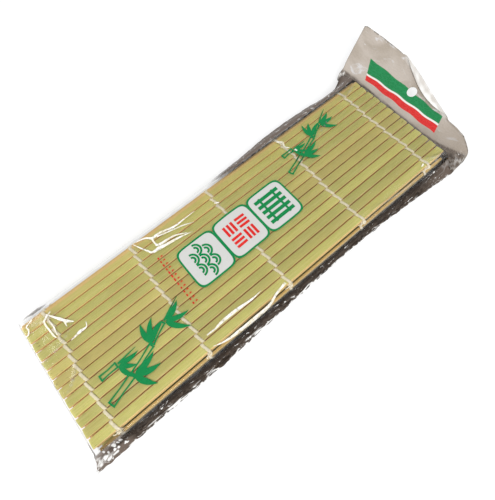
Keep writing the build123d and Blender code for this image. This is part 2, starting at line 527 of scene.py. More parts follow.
def film_material(name, paints, least):
    """Clear film: see-through where it lies flat, with painted shade streaked with painted white highlights
    where it is folded, stands off or lies along its margins.
    """
    # Colours of the painted shade: the deepest, an even mid shade, and the near-black painted shadow next to
    # the slats
    deep, level, inside = linear(40, 32, 26), linear(112, 99, 90), linear(50, 41, 34)
    n = Nodes(name, Specular_IOR_Level=0.22)
    crumpled = n.noise(n.place(60.0, 60.0, 60.0), 1.6, 4.0, 0.6, 1.2)
    streaks = n.noise(n.place(70.0, 260.0, 120.0), 2.2, 4.0, 0.7, 1.4)
    # Painted highlights: white flecks in the painted shade
    painted_glint_flecks = n.math("MULTIPLY", n.ramp(streaks, 0.60, 0.68), 0.5)
    shade_share = n.math("MULTIPLY", n.value("shade"), n.ramp(crumpled, 0.2, 0.6, 0.82, 1.0))
    white = n.most(n.value("crease"), n.math("MULTIPLY", painted_glint_flecks, n.value("shade")))
    # Painted shade, streaked, evened out or near-black as the mesh's values say
    dark = n.mix(n.ramp(streaks, 0.35, 0.62), deep, tuple(paints.painted_film_shade))
    dark = n.mix(n.value("even"), dark, level)
    dark = n.mix(n.value("inner"), dark, inside)
    # Painted highlights turn the colour white
    tone = n.mix(n.ramp(white, 0.03, 0.4), dark, PAINTED_HIGHLIGHT_WHITE)
    n.colour(tone)
    n.rough(n.ramp(crumpled, 0.3, 0.7, 0.14, 0.34))
    n.normal(n.bump(streaks, 0.4, 0.0005))
    # The steep wall of the packet is matte, so that it doesn't mirror the bright room
    matte = n.node("ShaderNodeBsdfDiffuse", Color=tone)
    matte_share = n.ramp(n.value("wall"), 0.0, 1.0, 0.0, 0.88)
    folded = n.mix_shaders(matte_share, n.shader.outputs["BSDF"], matte.outputs["BSDF"])
    fresnel = n.node("ShaderNodeFresnel", IOR=1.35)
    gloss_share = n.math("MULTIPLY", fresnel.outputs[0], n.ramp(n.value("wall"), 0.0, 1.0, 1.0, 0.03))
    clear = n.node("ShaderNodeBsdfTransparent")
    gloss = n.node("ShaderNodeBsdfGlossy", Roughness=0.09, Color=(1.0, 1.0, 1.0),
                   Normal=n.bump(crumpled, 0.5, 0.0006))
    flat = n.mix_shaders(gloss_share, clear.outputs[0], gloss.outputs[0])
    folded_share = n.math("MINIMUM", n.most(shade_share, white, least), 0.96)
    n.surface(n.mix_shaders(folded_share, flat, folded))
    return n.material


def painted_glare_material():
    """Painted glare: milky white, glossy strokes that stand in for highlights on the film."""
    n = Nodes("painted_glare", Roughness=0.2, Specular_IOR_Level=0.4)
    soft = n.noise(n.place(160.0, 160.0, 160.0), 2.0, 3.0, 0.6)
    thin = n.noise(n.place(420.0, 420.0, 420.0), 1.4, 3.0, 0.6)
    n.colour(n.mix(n.ramp(soft, 0.35, 0.6), linear(240, 234, 212), linear(254, 252, 246)))
    n.rough(n.ramp(soft, 0.3, 0.7, 0.16, 0.3))
    n.normal(n.bump(soft, 0.2, 0.0003))
    clear = n.node("ShaderNodeBsdfTransparent")
    milky = n.ramp(thin, 0.28, 0.52, 0.35, 0.96)
    n.surface(n.mix_shaders(milky, clear.outputs[0], n.shader.outputs["BSDF"]))
    return n.material


# Printed bands of the header: their two ends along it, and the heights of the lower and the upper edge there
BAND_START, BAND_END = -20.0, 36.0
BAND_BLUR = 0.12
GREEN_BAND = ((12.8, 11.6), (17.2, 19.4))
RED_BAND = ((7.6, 7.8), (11.8, 10.6))
WHITE_BAND = (RED_BAND[1], GREEN_BAND[0])


def header_band(n, u, v, band):
    """Share of ink in a band across the header, with slightly wavy edges and slanted ends."""
    low, high = band
    bottom = n.ramp(v, BAND_START, BAND_END, *low, kind="LINEAR")
    top = n.ramp(v, BAND_START, BAND_END, *high, kind="LINEAR")
    sway = n.math("MULTIPLY", n.math("SINE", n.math("MULTIPLY", v, 0.42)), 0.25)
    height = n.math("ADD", u, sway)
    over = n.ramp(n.math("SUBTRACT", height, bottom), -BAND_BLUR, BAND_BLUR)
    under = n.ramp(n.math("SUBTRACT", top, height), -BAND_BLUR, BAND_BLUR)
    slanted = n.math("SUBTRACT", v, n.math("MULTIPLY", u, 0.35))
    begun = n.ramp(slanted, BAND_START - 5.2, BAND_START - 4.9)
    unended = n.ramp(slanted, BAND_END - 4.9, BAND_END - 5.2)
    return n.math("MULTIPLY", n.math("MULTIPLY", over, under), n.math("MULTIPLY", begun, unended))


def header_material(paints):
    """Doubled film of the header: warm grey, darker towards its near corner, with painted pale sheens,
    painted shade at its seal line and top edge, painted highlights and printed bands.
    """
    n = Nodes("header_film", Roughness=0.25, Specular_IOR_Level=0.5, Coat_Weight=0.25, Coat_Roughness=0.1)
    broad = n.noise(n.uv(0.05, 0.028), 1.6, 3.0, 0.5, 0.8)
    streaks = n.noise(n.uv(0.10, 0.05), 1.5, 4.0, 0.6, 1.4)
    fine = n.noise(n.uv(0.6, 0.3), 1.2, 4.0, 0.66, 1.0)
    place = n.node("ShaderNodeSeparateXYZ", Vector=n.uv(1.0, 1.0))
    u, v = place.outputs["X"], place.outputs["Y"]
    base = n.mix(n.ramp(broad, 0.38, 0.68), tuple(paints.header), linear(172, 160, 146))
    # Painted sheen: pale streaks across the grey
    base = n.mix(n.ramp(streaks, 0.56, 0.68, 0.0, 0.62), base, linear(222, 222, 224))
    base = n.mix(n.ramp(fine, 0.62, 0.75, 0.0, 0.25), base, linear(140, 126, 112))
    base = n.mix(n.ramp(v, -42.0, -8.0, 0.62, 0.0), base, linear(138, 125, 110))
    thin_patches = n.ramp(fine, 0.4, 0.8, 0.0, 0.3)
    green = n.mix(thin_patches, tuple(paints.green_ink), linear(20, 164, 104))
    red = n.mix(thin_patches, tuple(paints.red_ink), linear(232, 70, 60))
    for band, ink in ((GREEN_BAND, green), (RED_BAND, red), (WHITE_BAND, linear(236, 234, 228))):
        base = n.mix(header_band(n, u, v, band), base, ink)
    # Painted shade where the fold value is high: the seal line, the stretch below it and the top edge
    dark = n.mix(n.ramp(fine, 0.35, 0.65), linear(62, 50, 42), linear(118, 105, 94))
    base = n.mix(n.value("fold"), base, dark)
    # Painted highlights in white
    n.colour(n.mix(n.value("crease"), base, PAINTED_HIGHLIGHT_WHITE))
    n.rough(n.ramp(fine, 0.3, 0.7, 0.2, 0.36))
    n.normal(n.bump(streaks, 0.35, 0.0009))
    return n.material


def ink_material(name, colour, pale):
    """Print on film: flat ink with thin patches, under the gloss of the film."""
    n = Nodes(name, Roughness=0.26, Specular_IOR_Level=0.25, Coat_Weight=0.08, Coat_Roughness=0.06)
    patch = n.noise(n.place(90.0, 90.0, 90.0), 2.0, 3.0, 0.6)
    grain = n.noise(n.place(900.0, 900.0, 900.0), 2.0, 2.0)
    base = n.mix(n.ramp(patch, 0.45, 0.75, 0.0, 0.08), colour, pale)
    n.colour(n.mix(n.ramp(grain, 0.6, 0.8, 0.0, 0.05), base, pale))
    n.rough(n.ramp(patch, 0.3, 0.7, 0.2, 0.34))
    n.normal(n.bump(patch, 0.15, 0.0003))
    return n.material


# Slats and thread

def bend_before(index, fold):
    """Turn between a slat and the one before it, positive towards the skin."""
    if index in (FIRST_FOLD, FIRST_FOLD + 1):
        return fold
    if index in (SECOND_FOLD, SECOND_FOLD + 1):
        return -fold
    return 0.0


def slat_places(sizes):
    """Place of every slat as a matrix in millimetres, with the middle of the top panel over the origin."""
    pitch = (sizes.slat_width + sizes.slat_gap) / MM
    half = sizes.slat_thickness / MM / 2
    places = [Matrix.Translation((0, 0, LOWEST_SLAT + half))]
    for index in range(1, SLAT_COUNT):
        turn = bend_before(index, sizes.bend_at_fold)
        level = -half if turn < 0 else half
        to_hinge = Matrix.Translation((0, -pitch / 2, level))
        from_hinge = Matrix.Translation((0, -pitch / 2, -level))
        places.append(places[-1] @ to_hinge @ Matrix.Rotation(-turn, 4, "X") @ from_hinge)
    middle = (places[SECOND_FOLD + 1].translation.y + places[-1].translation.y) / 2
    places = [Matrix.Translation((0, -middle, 0)) @ place for place in places]
    for number, place in enumerate(places, 1):
        low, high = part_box(f"slat_{number:02d}")
        off = ((Vector(low) + Vector(high)) / 2 / MM - place.translation).length
        if off > 0.2:
            raise ValueError(f"slat {number} is {off:.2f} mm from its place in the model")
    return places


def body_of_slat(index):
    """Body that a slat rides on."""
    if index < FIRST_FOLD:
        return "lower_third"
    if index == FIRST_FOLD:
        return "first_fold_slat"
    if index < SECOND_FOLD:
        return "middle_third"
    if index == SECOND_FOLD:
        return "second_fold_slat"
    return "upper_third"


def slat_outline(sizes):
    """Outline of a slat across its grain, with the share of skin at each point."""
    w = sizes.slat_width / MM / 2
    t = sizes.slat_thickness / MM / 2
    crown = sizes.crown / MM
    side = t - crown
    outline = [(w, side - 0.2, 0.0), (w - 0.05, side - 0.06, 0.0), (w - 0.2, side + 0.02, 0.45)]
    for k in range(7):
        y = (w - 0.4) * (1 - k / 3)
        outline.append((y, t - crown * (y / w) ** 2, 1.0))
    outline += [(0.2 - w, side + 0.02, 0.45), (0.05 - w, side - 0.06, 0.0), (-w, side - 0.2, 0.0)]
    back = [(-w, 0.22 - t), (0.22 - w, -t), (0.0, -t), (w - 0.22, -t), (w, 0.22 - t)]
    return outline + [(y, z, 0.0) for y, z in back]


def build_slat(number, place, sizes, material):
    """One bamboo strip with its own tone, slight waves in width and uneven ends."""
    chance = random.Random(900 + number)
    tone, warm = chance.random(), chance.random()
    lean = [chance.uniform(-0.12, 0.12) for _ in range(2)]
    short = [chance.uniform(0.0, 0.5) for _ in range(2)]
    seed = chance.uniform(0, 50)
    outline = slat_outline(sizes)
    half = sizes.slat_length / MM / 2
    around = [0.0]
    for (y0, z0, _), (y1, z1, _) in zip(outline, outline[1:]):
        around.append(around[-1] + math.hypot(y1 - y0, z1 - z0))
    strip = Sheet()
    for i in range(SLAT_STEPS + 1):
        x = (i / SLAT_STEPS * 2 - 1) * half
        slant, worn = 0.0, 1.0
        if i == 0:
            x += short[0]
            slant, worn = lean[0], SLAT_END
        if i == SLAT_STEPS:
            x -= short[1]
            slant, worn = lean[1], SLAT_END
        thin = 1 - 0.022 * (0.5 + 0.5 * noise.noise((x * 0.03, seed, 0.0)))
        rise = 0.035 * noise.noise((x * 0.02, seed, 7.0))
        sway = 0.045 * noise.noise((x * 0.016, seed, 19.0))
        stained = max(0.12, 1 - (half - abs(x)) / STAIN_REACH)
        for (y, z, skin), girth in zip(outline, around):
            # The first slat of the top panel shows its wood along its outer edge
            if number == FIRST_TOP_SLAT:
                skin *= 1 - smooth_share(y, 0.7, 1.4)
            p = Vector((x + slant * y, y * thin * (0.5 + worn / 2) + sway, z * worn + rise))
            ends = stained * (0.6 + 0.4 * chance.random())
            uv = (x + seed * 40, girth + number * 9.7)
            strip.point(place @ p, uv, tone=tone, warm=warm, skin=skin, ends=ends)
    faces = turned(tube_faces(SLAT_STEPS + 1, len(outline)))
    piece = strip.piece(f"bamboo_slat_{number:02d}", faces, material)
    piece.data.set_sharp_from_angle(angle=SLAT_SHARP)
    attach(piece, body_of_slat(number - 1))
    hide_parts(f"slat_{number:02d}")
    return piece


def crossing(sizes, over, leaving):
    """Half a yarn's run over or under a slat, in the slat's frame, from its middle to the gap."""
    pitch = (sizes.slat_width + sizes.slat_gap) / MM
    rest = sizes.slat_thickness / MM / 2 + sizes.yarn_height / MM / 2 + 0.03
    slant = sizes.yarn_slant / MM / 2
    way = -1 if leaving else 1
    face = 1 if over else -1
    out = []
    for y, height in YARN_RUN:
        x = -face * slant * 2 * (way * y) / pitch
        out.append(Vector((x, way * y, face * rest * height)))
    return out


def yarn_across_gap(first, second, along, sizes, over):
    """Path of one yarn from the middle of a slat, through the gap, to the middle of the next slat."""
    pitch = (sizes.slat_width + sizes.slat_gap) / MM
    slant = sizes.yarn_slant / MM / 2 * (1 if over else -1)
    here, there = Vector((along[0], 0, 0)), Vector((along[1], 0, 0))
    gap_here = first @ Vector((along[0] + slant, -pitch / 2, 0))
    gap_there = second @ Vector((along[1] + slant, pitch / 2, 0))
    route = [first @ (p + here) for p in crossing(sizes, over, True)]
    route.append((gap_here + gap_there) / 2)
    route += [second @ (p + there) for p in reversed(crossing(sizes, not over, False))]
    return spline_points(route, 2)


def yarn_sizes(path, sizes, squeeze_at):
    """Half widths and heights of a yarn along its path, narrower in the gap."""
    wide, high = [], []
    count = len(path) - 1
    for i in range(len(path)):
        near = math.exp(-((i / count - squeeze_at) / 0.11) ** 2)
        wide.append(sizes.yarn_width / MM / 2 * (1 - 0.16 * near))
        high.append(sizes.yarn_height / MM / 2 * (1 - 0.08 * near))
    return wide, high


def thread_lines(sizes):
    """Places of the threads along the slats."""
    spacing = sizes.thread_spacing / MM
    return [THREADS_MIDDLE + spacing * (k - (THREADS - 1) / 2) for k in range(THREADS)]


def thread_place(sizes, line, number):
    """Place of a thread on a slat, with the slight drift of hand twining."""
    drift = 0.42 * math.sin(number * 0.62 + line * 2.1) + 0.26 * math.sin(number * 1.9 + line * 0.8)
    return thread_lines(sizes)[line] + drift


def build_gap_threads(number, places, sizes, material):
    """The ten yarns that cross one gap between two slats."""
    first, second = places[number - 1], places[number]
    parts = MeshLists()
    for line in range(THREADS):
        chance = random.Random(number * 11 + line)
        along = (thread_place(sizes, line, number), thread_place(sizes, line, number + 1))
        for over in (True, False):
            path = yarn_across_gap(first, second, along, sizes, over)
            wide, high = yarn_sizes(path, sizes, 0.5)
            swell = chance.uniform(0.94, 1.06)
            points, faces, uv = sweep(path, [w * swell for w in wide], high, Vector((1, 0, 0)))
            parts.add(points, faces, [(u + number * 8.0, v) for u, v in uv])
    piece = parts.piece(f"thread_gap_{number:02d}", material)
    a, b = body_of_slat(number - 1), body_of_slat(number)
    if a == b:
        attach(piece, a)
        return piece
    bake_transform(piece)
    return piece


def edge_yarn(sizes, over):
    """Path of a yarn from the middle of an edge slat to its knot."""
    slant = -sizes.yarn_slant / MM / 2 * (1 if over else -1)
    route = crossing(sizes, over, False)
    route += [Vector((slant * 0.8, 2.78, 0.1)), Vector((slant * 0.3, 3.3, 0.0))]
    return spline_points(route, 2)


def knot_loop(chance):
    """Path of a small overhand knot beside an edge slat, tilted by chance."""
    lean = Matrix.Rotation(chance.uniform(-0.5, 0.5), 4, "X")
    tilt = lean @ Matrix.Rotation(chance.uniform(0, 3.1), 4, "Z")
    out = []
    for k in range(KNOT_STEPS + 1):
        t = 2 * math.pi * k / KNOT_STEPS
        r = 0.36 * (2 + math.cos(3 * t))
        p = Vector((r * math.cos(2 * t), r * math.sin(2 * t) * 0.8, 0.46 * math.sin(3 * t)))
        out.append(Vector((0, 3.62, 0.0)) + tilt @ p)
    return out


def yarn_tail(chance, way):
    """Path of the loose end of a yarn, which curls one way or the other."""
    curl = chance.uniform(0.6, 1.2)
    heading = chance.uniform(-0.2, 0.5)
    route = [Vector((0.3, 3.7, 0.1))]
    here = Vector((0.9, 3.9, 0.25))
    for k in range(5):
        route.append(here.copy())
        heading += curl * (0.35 + 0.2 * k) * way * 0.6
        here += Vector((math.cos(heading) * 0.85, math.sin(heading) * 0.3, -0.05))
    return spline_points(route, 3)


def build_knots(name, place, node, body, flip, sizes, material):
    """The thread ends at a free edge: for each line the last half turns, a knot and a curled tail."""
    parts = MeshLists()
    turn = Matrix.Rotation(math.pi, 4, "Z") if flip else Matrix.Identity(4)
    for line in range(THREADS):
        along = thread_place(sizes, line, SLAT_COUNT if flip else 1)
        chance = random.Random(70 + line + (40 if flip else 0))
        here = place @ Matrix.Translation((along, 0, 0)) @ turn
        for over in (True, False):
            path = [here @ p for p in edge_yarn(sizes, over)]
            wide, high = yarn_sizes(path, sizes, 0.9)
            parts.add(*sweep(path, wide, high, Vector((1, 0, 0))))
        loop = [here @ p for p in knot_loop(chance)]
        side = Vector((0.2, 0.1, 1)).normalized()
        parts.add(*sweep(loop, [0.36] * len(loop), [0.34] * len(loop), side, turns=14.0))
        tail = [here @ p for p in yarn_tail(chance, 1 if line % 2 else -1)]
        thick = [0.32 * (1 - 0.5 * (i / len(tail)) ** 3) for i in range(len(tail))]
        parts.add(*sweep(tail, thick, thick, Vector((0, 0.2, 1)).normalized(), turns=6.0))
    piece = parts.piece(name, material)
    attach(piece, body)
    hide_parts(node)
    return piece


# Film, print and header

def near_stretch(x):
    """How many times as wide as in its table the near side is, at a place along the packet."""
    return (between(NEAR_EDGE, x) - NEAR_START) / (NEAR_SIDE[-1][0] - NEAR_START)


def near_place(x, y):
    """Place across the packet of a point in the table of the near side."""
    return NEAR_START + (y - NEAR_START) * near_stretch(x)


def near_profile(x, y):
    """Point in the table of the near side for a place across the packet."""
    return y if y >= NEAR_START else NEAR_START + (y - NEAR_START) / near_stretch(x)


def corner_reach(x, y):
    """How far the loose corner of the film by the mouth reaches out past the slats."""
    return CORNER_REACH * smooth_share(-y, 36.6, 42.5) * smooth_share(-x, 110.0, 122.0)


def film_share(x, y):
    """Shares of its full height that the front film has at a place, from its sides and from its ends."""
    across = between(NEAR_SIDE, near_profile(x, y)) if y < 0 else between(FAR_SIDE, y)
    along = between(MOUTH_END, x) if x < 0 else between(HEADER_END, x)
    return across, along


def crease_at(x, y):
    """Height of the pressed creases at a place, and the strength of the painted highlight along them."""
    rise, white = 0.0, 0.0
    for (x0, y0), (x1, y1), width, height in CREASES:
        dx, dy = x1 - x0, y1 - y0
        long = math.hypot(dx, dy)
        t = min(1.0, max(0.0, ((x - x0) * dx + (y - y0) * dy) / long ** 2))
        bow = 1.6 * math.sin(math.pi * t) / long
        distance = math.hypot(x - x0 - dx * t - bow * dy, y - y0 - dy * t + bow * dx)
        fade = 0.45 + 0.55 * math.sin(math.pi * min(1.0, max(0.03, t)))
        near = math.exp(-(distance / width) ** 2) * fade
        rise = max(rise, near * height)
        white = max(white, near)
    return rise, white


def crumple(x, y, scale, seed):
    """Sharp ridges of crushed film, from 0 to 1."""
    distances = noise.voronoi((x / scale, y / scale, seed))[0]
    return max(0.0, 1 - (distances[1] - distances[0]) * 2.4)


def film_top(x, y, lines):
    """Height of the front film over the mat, before its share at the sides."""
    over_thread = max(math.exp(-((x - line) / 5.0) ** 2) for line in lines)
    wave = 0.10 * noise.noise((x * 0.045, y * 0.07, 3.1)) + 0.05 * noise.noise((x * 0.2, y * 0.16, 8.0))
    rise, _ = crease_at(x, y)
    return TOP_HEIGHT + 0.1 + 0.46 * over_thread + wave + rise


def film_point(x, y, lines):
    """Point of the front film, without its crumples."""
    across, along = film_share(x, y)
    z = SEAL_HEIGHT + (film_top(x, y, lines) - SEAL_HEIGHT) * across * along
    stand = between(FAR_BULGE, x) * math.sin(math.pi * across) ** 0.8 if 0 < y and 0 < across < 1 else 0.0
    return Vector((x, y + stand, z))


def to_header(x, y):
    """0 on most of the film, rising to 1 at the header."""
    return smooth_share(x, 96, 120) if y < 0 else smooth_share(x, 108, 122)


def rim_share(loose):
    """0 on most of the film, rising to 1 at its edges."""
    return smooth_share(loose, 0.82, 1.0)


def crushed_share(x, y, loose):
    """Share of crushed film at the two corners by the mouth."""
    if y < 0:
        corner = smooth_share(-x, 104.0, 110.0) * smooth_share(loose, 0.01, 0.12)
        return max(corner, smooth_share(-x, 119.8, 120.6) * smooth_share(-y, 30.0, 34.0))
    stretch = smooth_share(-x, 107.0, 110.0) * (1 - smooth_share(-x, 116.0, 119.0))
    return 0.7 * stretch * smooth_share(loose, 0.0, 0.1)


def front_point(x, y, lines):
    """Point of the front film with its crumples and ragged rim, and how sharply it is folded there."""
    across, along = film_share(x, y)
    loose, open_end = 1 - across, 1 - along
    fold = crumple(x, y * 1.6, 6.0, 2.0) * 0.8 + crumple(x, y * 1.4, 2.6, 5.0) * 0.5
    side = smooth_share(loose, 0.05, 0.4) * smooth_share(across, 0.0, 0.25)
    ragged = 0.9 * noise.noise((x * 0.16, 4.0, 1.0)) + 0.5 * noise.noise((x * 0.6, 9.0, 1.0))
    p = film_point(x, y, lines)
    p.z += fold * (0.55 + 1.6 * to_header(x, y)) * side + fold * 0.9 * open_end * along
    p.z += 0.25 * crumple(x, y, 3.0, 9.0) * smooth_share(loose, 0.3, 1.0)
    p.y += ragged * rim_share(loose) * (1 if y < 0 else 0.4)
    p.x -= corner_reach(x, y)
    return p, smooth_share(fold, 0.72, 1.05) * max(side, open_end * 0.8)


def front_looks(x, y, sharp):
    """Values of the front film for its material, where it is folded as sharply as given: painted shade,
    painted highlights and a painted shadow inside the near margin.
    """
    near = y < 0
    loose = 1 - film_share(x, y)[0]
    header, rim, crushed = to_header(x, y), rim_share(loose), crushed_share(x, y, loose)
    mouth_corner = smooth_share(-x, 108, 121)
    cells = crumple(x * 1.1, y * 1.5, 2.3, 21.0)
    # Painted shade on the near margin, and on the far margin past the mat
    if near:
        dark, shown = smooth_share(loose, 0.34, 0.46), 1.0
    else:
        dark = smooth_share(y, 36.2, 36.9) * smooth_share(x, 2.0, 24.0)
        shown = 0.25 * smooth_share(x, 104.0, 116.0)
    # Painted shade at the header end, and a little at the mouth
    ends = smooth_share(x, 119.6, 121.0) * 0.95 + smooth_share(-x, 120.4, 122.0) * 0.1
    # Painted shade in the crushed corners by the mouth
    crushed_shade = (0.62 + 0.38 * smooth_share(cells, 0.2, 0.6)) * crushed
    # Painted shadow: a near-black band inside the near margin, by the slats
    inner = smooth_share(loose, 0.3, 0.42) * (1 - smooth_share(loose, 0.6, 0.8))
    # Painted highlights: white cells in the crushed corners
    glints = smooth_share(noise.noise((x * 0.5, y * 0.5, 7.0)), -0.2, 0.15)
    bright = 0.8 * crushed * smooth_share(1 - cells, 0.45, 0.8) * (1 - rim) * glints
    # Painted highlights: white streaks near the rim and a thin white line along it
    painted_rim_streak = smooth_share(noise.noise((x * 0.09, y * 1.9, 12.0)), 0.12, 0.42) * rim * 0.7
    painted_rim_line = smooth_share(loose, 0.95, 1.0) * smooth_share(noise.noise((x * 0.5, 2.0, 3.0)), -0.05, 0.3)
    painted_edge_highlight = max(painted_rim_streak * 0.8, painted_rim_line * 0.8) * (1 - 0.6 * smooth_share(x, 20.0, 60.0)) * (1 - crushed)
    # Painted highlights on sharp folds and along the pressed creases
    folded = sharp * (0.06 + 0.6 * max(mouth_corner * 0.3, header * 0.15))
    _, white = crease_at(x, y)
    return {
        "shade": min(1.0, max(dark, ends, crushed_shade)),
        "crease": min(1.0, max(bright, white * 0.3 + shown * (folded + painted_edge_highlight))),
        "inner": inner * (1 - header) * (1 - mouth_corner),
        "wall": smooth_share(loose, 0.08, 0.32),
        # Evens the painted shade to a mid grey in the crushed corners, by the header and on the far side
        "even": max(crushed, 0.9 * header, 0.0 if near else 1.0),
    }


def gather(piece):
    """Gives the film its own copy of its mesh."""
    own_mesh(piece)


def build_front_film(sizes, material):
    """The front film, draped over the mat and sealed at its sides."""
    lines = thread_lines(sizes)
    near_side = spaced(NEAR_SIDE[-1][0], NEAR_START, 0.42)
    top = spread([-37.4, -34.0, 34.0, FAR_SIDE[-1][0]], [0.6, 1.35, 0.45])
    rows = spread([MOUTH_END[-1][0], -102.0, 112.0, HEADER_END[-1][0]], [0.6, 1.3, 0.75])
    film = Sheet()
    for x in rows:
        for y in [near_place(x, y) for y in near_side] + top:
            p, sharp = front_point(x, y, lines)
            film.point(p, (x, y), **front_looks(x, y, sharp))
    faces = turned(grid_faces(len(rows), len(near_side) + len(top)))
    piece = film.piece("front_film", faces, material)
    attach(piece, "bag")
    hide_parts("film_front")
    gather(piece)
    return piece


def build_back_film(material):
    """The back film with its sealed edges, a thin sheet under the mat, with painted shade along its near side
    and far margin and painted highlights on its seals.
    """
    high = FAR_SIDE[-1][0]
    edge_shares = [0.0, 0.006, 0.016, 0.03, 0.05, 0.08]
    shares = edge_shares + [k / 20 for k in range(2, 19)] + [1 - share for share in reversed(edge_shares)]
    rows = spaced(BACK_MOUTH, HEADER_END[-1][0], 2.0)
    film = Sheet()
    for x in rows:
        low = between(NEAR_EDGE, x)
        ragged = 0.5 * noise.noise((x * 0.21, 6.0, 2.0))
        for share in shares:
            y = low + (high - low) * share
            y += ragged * (1 - smooth_share(share, 0.0, 0.05) - smooth_share(share, 0.95, 1.0))
            seal = max(1 - smooth_share(share, 0.012, 0.03), smooth_share(share, 0.97, 0.99))
            ridge = crumple(x, y, 4.0, 3.0)
            near = 1 - smooth_share(share, 0.1, 0.2)
            by_mouth = smooth_share(-x, 118, 123)
            far = smooth_share(x, 2.0, 30.0) * smooth_share(share, 0.86, 0.94)
            # Painted shade by the near side and the far margin, a painted shadow inside the near seal, and
            # painted highlights on the seal ridges
            film.point(
                Vector((x - corner_reach(x, y), y, 0.1 + 0.08 * ridge * seal)), (x, y),
                shade=0.04 + 0.92 * max(near * (1 - 0.8 * by_mouth), far),
                crease=0.5 * seal * max(near, far) * smooth_share(ridge, 0.6, 1.0),
                inner=near * (1 - seal), wall=max(near, far))
    piece = film.piece("back_film", turned(grid_faces(len(rows), len(shares))), material)
    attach(piece, "bag")
    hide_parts("film_back")
    return piece


# How far the layers of print and the painted glare lie over the film
SPRIG_LIFT = 0.05
GLARE_LIFT = 0.12
GROUND_LIFT, BORDER_LIFT, MARK_LIFT = 0.14, 0.18, 0.22
# The tiles: their middles, half sizes and corners, with their border and its width
TILES = [(-25.8, 3.1), (-1.7, 3.3), (22.2, 2.9)]
TILE_HALF, TILE_CORNER = (11.6, 12.2), 4.6
BORDER_HALF, BORDER_CORNER, BORDER_WIDTH = (12.2, 12.8), 4.8, 1.0
# Steps in a leaf and round a tile
LEAF_STEPS = 10
SQUARE_STEPS = 56


class Print:
    """Flat print that follows the front film just above it."""

    def __init__(self, sizes, lift):
        self.lines = thread_lines(sizes)
        self.lift = Vector((0, 0, lift))
        self.parts = MeshLists()

    def grid(self, rows):
        """A patch from rows of places with as many places each."""
        points = [film_point(x, y, self.lines) + self.lift for row in rows for x, y in row]
        self.parts.add(points, grid_faces(len(rows), len(rows[0])), [(p.x, p.y) for p in points])

    def stroke(self, path, widths):
        """A band along a path with its own width at each point."""
        rows = []
        for i, (x, y) in enumerate(path):
            x0, y0 = path[max(i - 1, 0)]
            x1, y1 = path[min(i + 1, len(path) - 1)]
            long = math.hypot(x1 - x0, y1 - y0)
            nx, ny = -(y1 - y0) / long, (x1 - x0) / long
            w = widths[i] / 2
            rows.append([(x - nx * w, y - ny * w), (x, y), (x + nx * w, y + ny * w)])
        self.grid(rows)

    def bar(self, x, y, half_x, half_y, width):
        """A straight bar through its middle."""
        self.stroke([(x - half_x, y - half_y), (x, y), (x + half_x, y + half_y)], [width] * 3)

    def leaf(self, x, y, heading, length, width, bend):
        """A narrow pointed leaf that starts at a place."""
        path, widths = [], []
        for k in range(LEAF_STEPS + 1):
            path.append((x, y))
            widths.append(max(0.05, width * math.sin(math.pi * (k / LEAF_STEPS) ** 0.72) ** 0.9))
            heading += bend / LEAF_STEPS
            x += math.cos(heading) * length / LEAF_STEPS
            y += math.sin(heading) * length / LEAF_STEPS
        self.stroke(path, widths)

    def block(self, x, y, half_x, half_y, corner):
        """A filled square with round corners."""
        edge = round_square(half_x, half_y, corner)
        shares = spaced(0.0, 1.0, 1 / 7)
        self.grid([[(x + ex * share, y + ey * share) for ex, ey in edge] for share in shares])

    def frame(self, x, y, half_x, half_y, corner, width):
        """The outline of a square with round corners."""
        inner = round_square(half_x - width, half_y - width, corner - width * 0.6)
        outer = round_square(half_x, half_y, corner)
        self.grid([[(x + ex, y + ey) for ex, ey in edge] for edge in (inner, outer)])

    def arc(self, x, y, radius, first, last, width):
        """A bent band round a centre."""
        path = [(x + radius * math.cos(a), y + radius * math.sin(a)) for a in spaced(first, last, 0.16)]
        self.stroke(path, [width] * len(path))

    def piece(self, name, material):
        """The mesh object of the whole print, attached to the bag, with its own copy of its mesh."""
        made = self.parts.piece(name, material)
        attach(made, "bag")
        gather(made)
        return made


def round_square(half_x, half_y, corner):
    """Points round a square with round corners, evenly turned, with the first one again at the end."""
    power = 2 + 7 * (1 - corner / max(half_x, half_y))
    out = []
    for k in range(SQUARE_STEPS):
        a = 2 * math.pi * k / SQUARE_STEPS
        c, s = math.cos(a), math.sin(a)
        x = half_x * math.copysign(abs(c) ** (2 / power), c)
        y = half_y * math.copysign(abs(s) ** (2 / power), s)
        out.append((x, y))
    return out + out[:1]


def build_painted_glare(sizes, material):
    """The painted glare: white strokes just over the front film."""
    art = Print(sizes, GLARE_LIFT)
    steps = 8
    for fold in PAINTED_GLARE_STROKES:
        path = [(p.x, p.y) for p in spline_points([Vector((x, y, 0)) for x, y, _ in fold], steps)]
        widths = [(k, width) for k, (_, _, width) in enumerate(fold)]
        wide = []
        for k, (x, y) in enumerate(path):
            rough = 1 + 0.22 * noise.noise((x * 0.8, y * 0.8, 5.0))
            wide.append(between(widths, k / steps) * rough * 0.72)
        art.stroke(path, wide)
    art.piece("film_painted_glare", material)


def draw_waves(art, x, y):
    """Rows of double arcs, offset from row to row."""
    for row in range(3):
        for column in range(2 + row % 2):
            across = (column - (1 + row % 2) / 2) * 7.2
            for ring in (3.3, 1.6):
                art.arc(x + row * 4.4 - 6.2, y + across, ring, -math.pi / 2, math.pi / 2, 1.15)


def draw_basket(art, x, y):
    """Four blocks of three bars that lie along and across by turns."""
    for column in (-1, 1):
        for row in (-1, 1):
            block_x, block_y = x + 4.1 * column, y + 4.1 * row
            for k in (-2.5, 0.0, 2.5):
                if column == row:
                    art.bar(block_x, block_y + k, 3.3, 0.0, 1.5)
                else:
                    art.bar(block_x + k, block_y, 0.0, 3.3, 1.5)


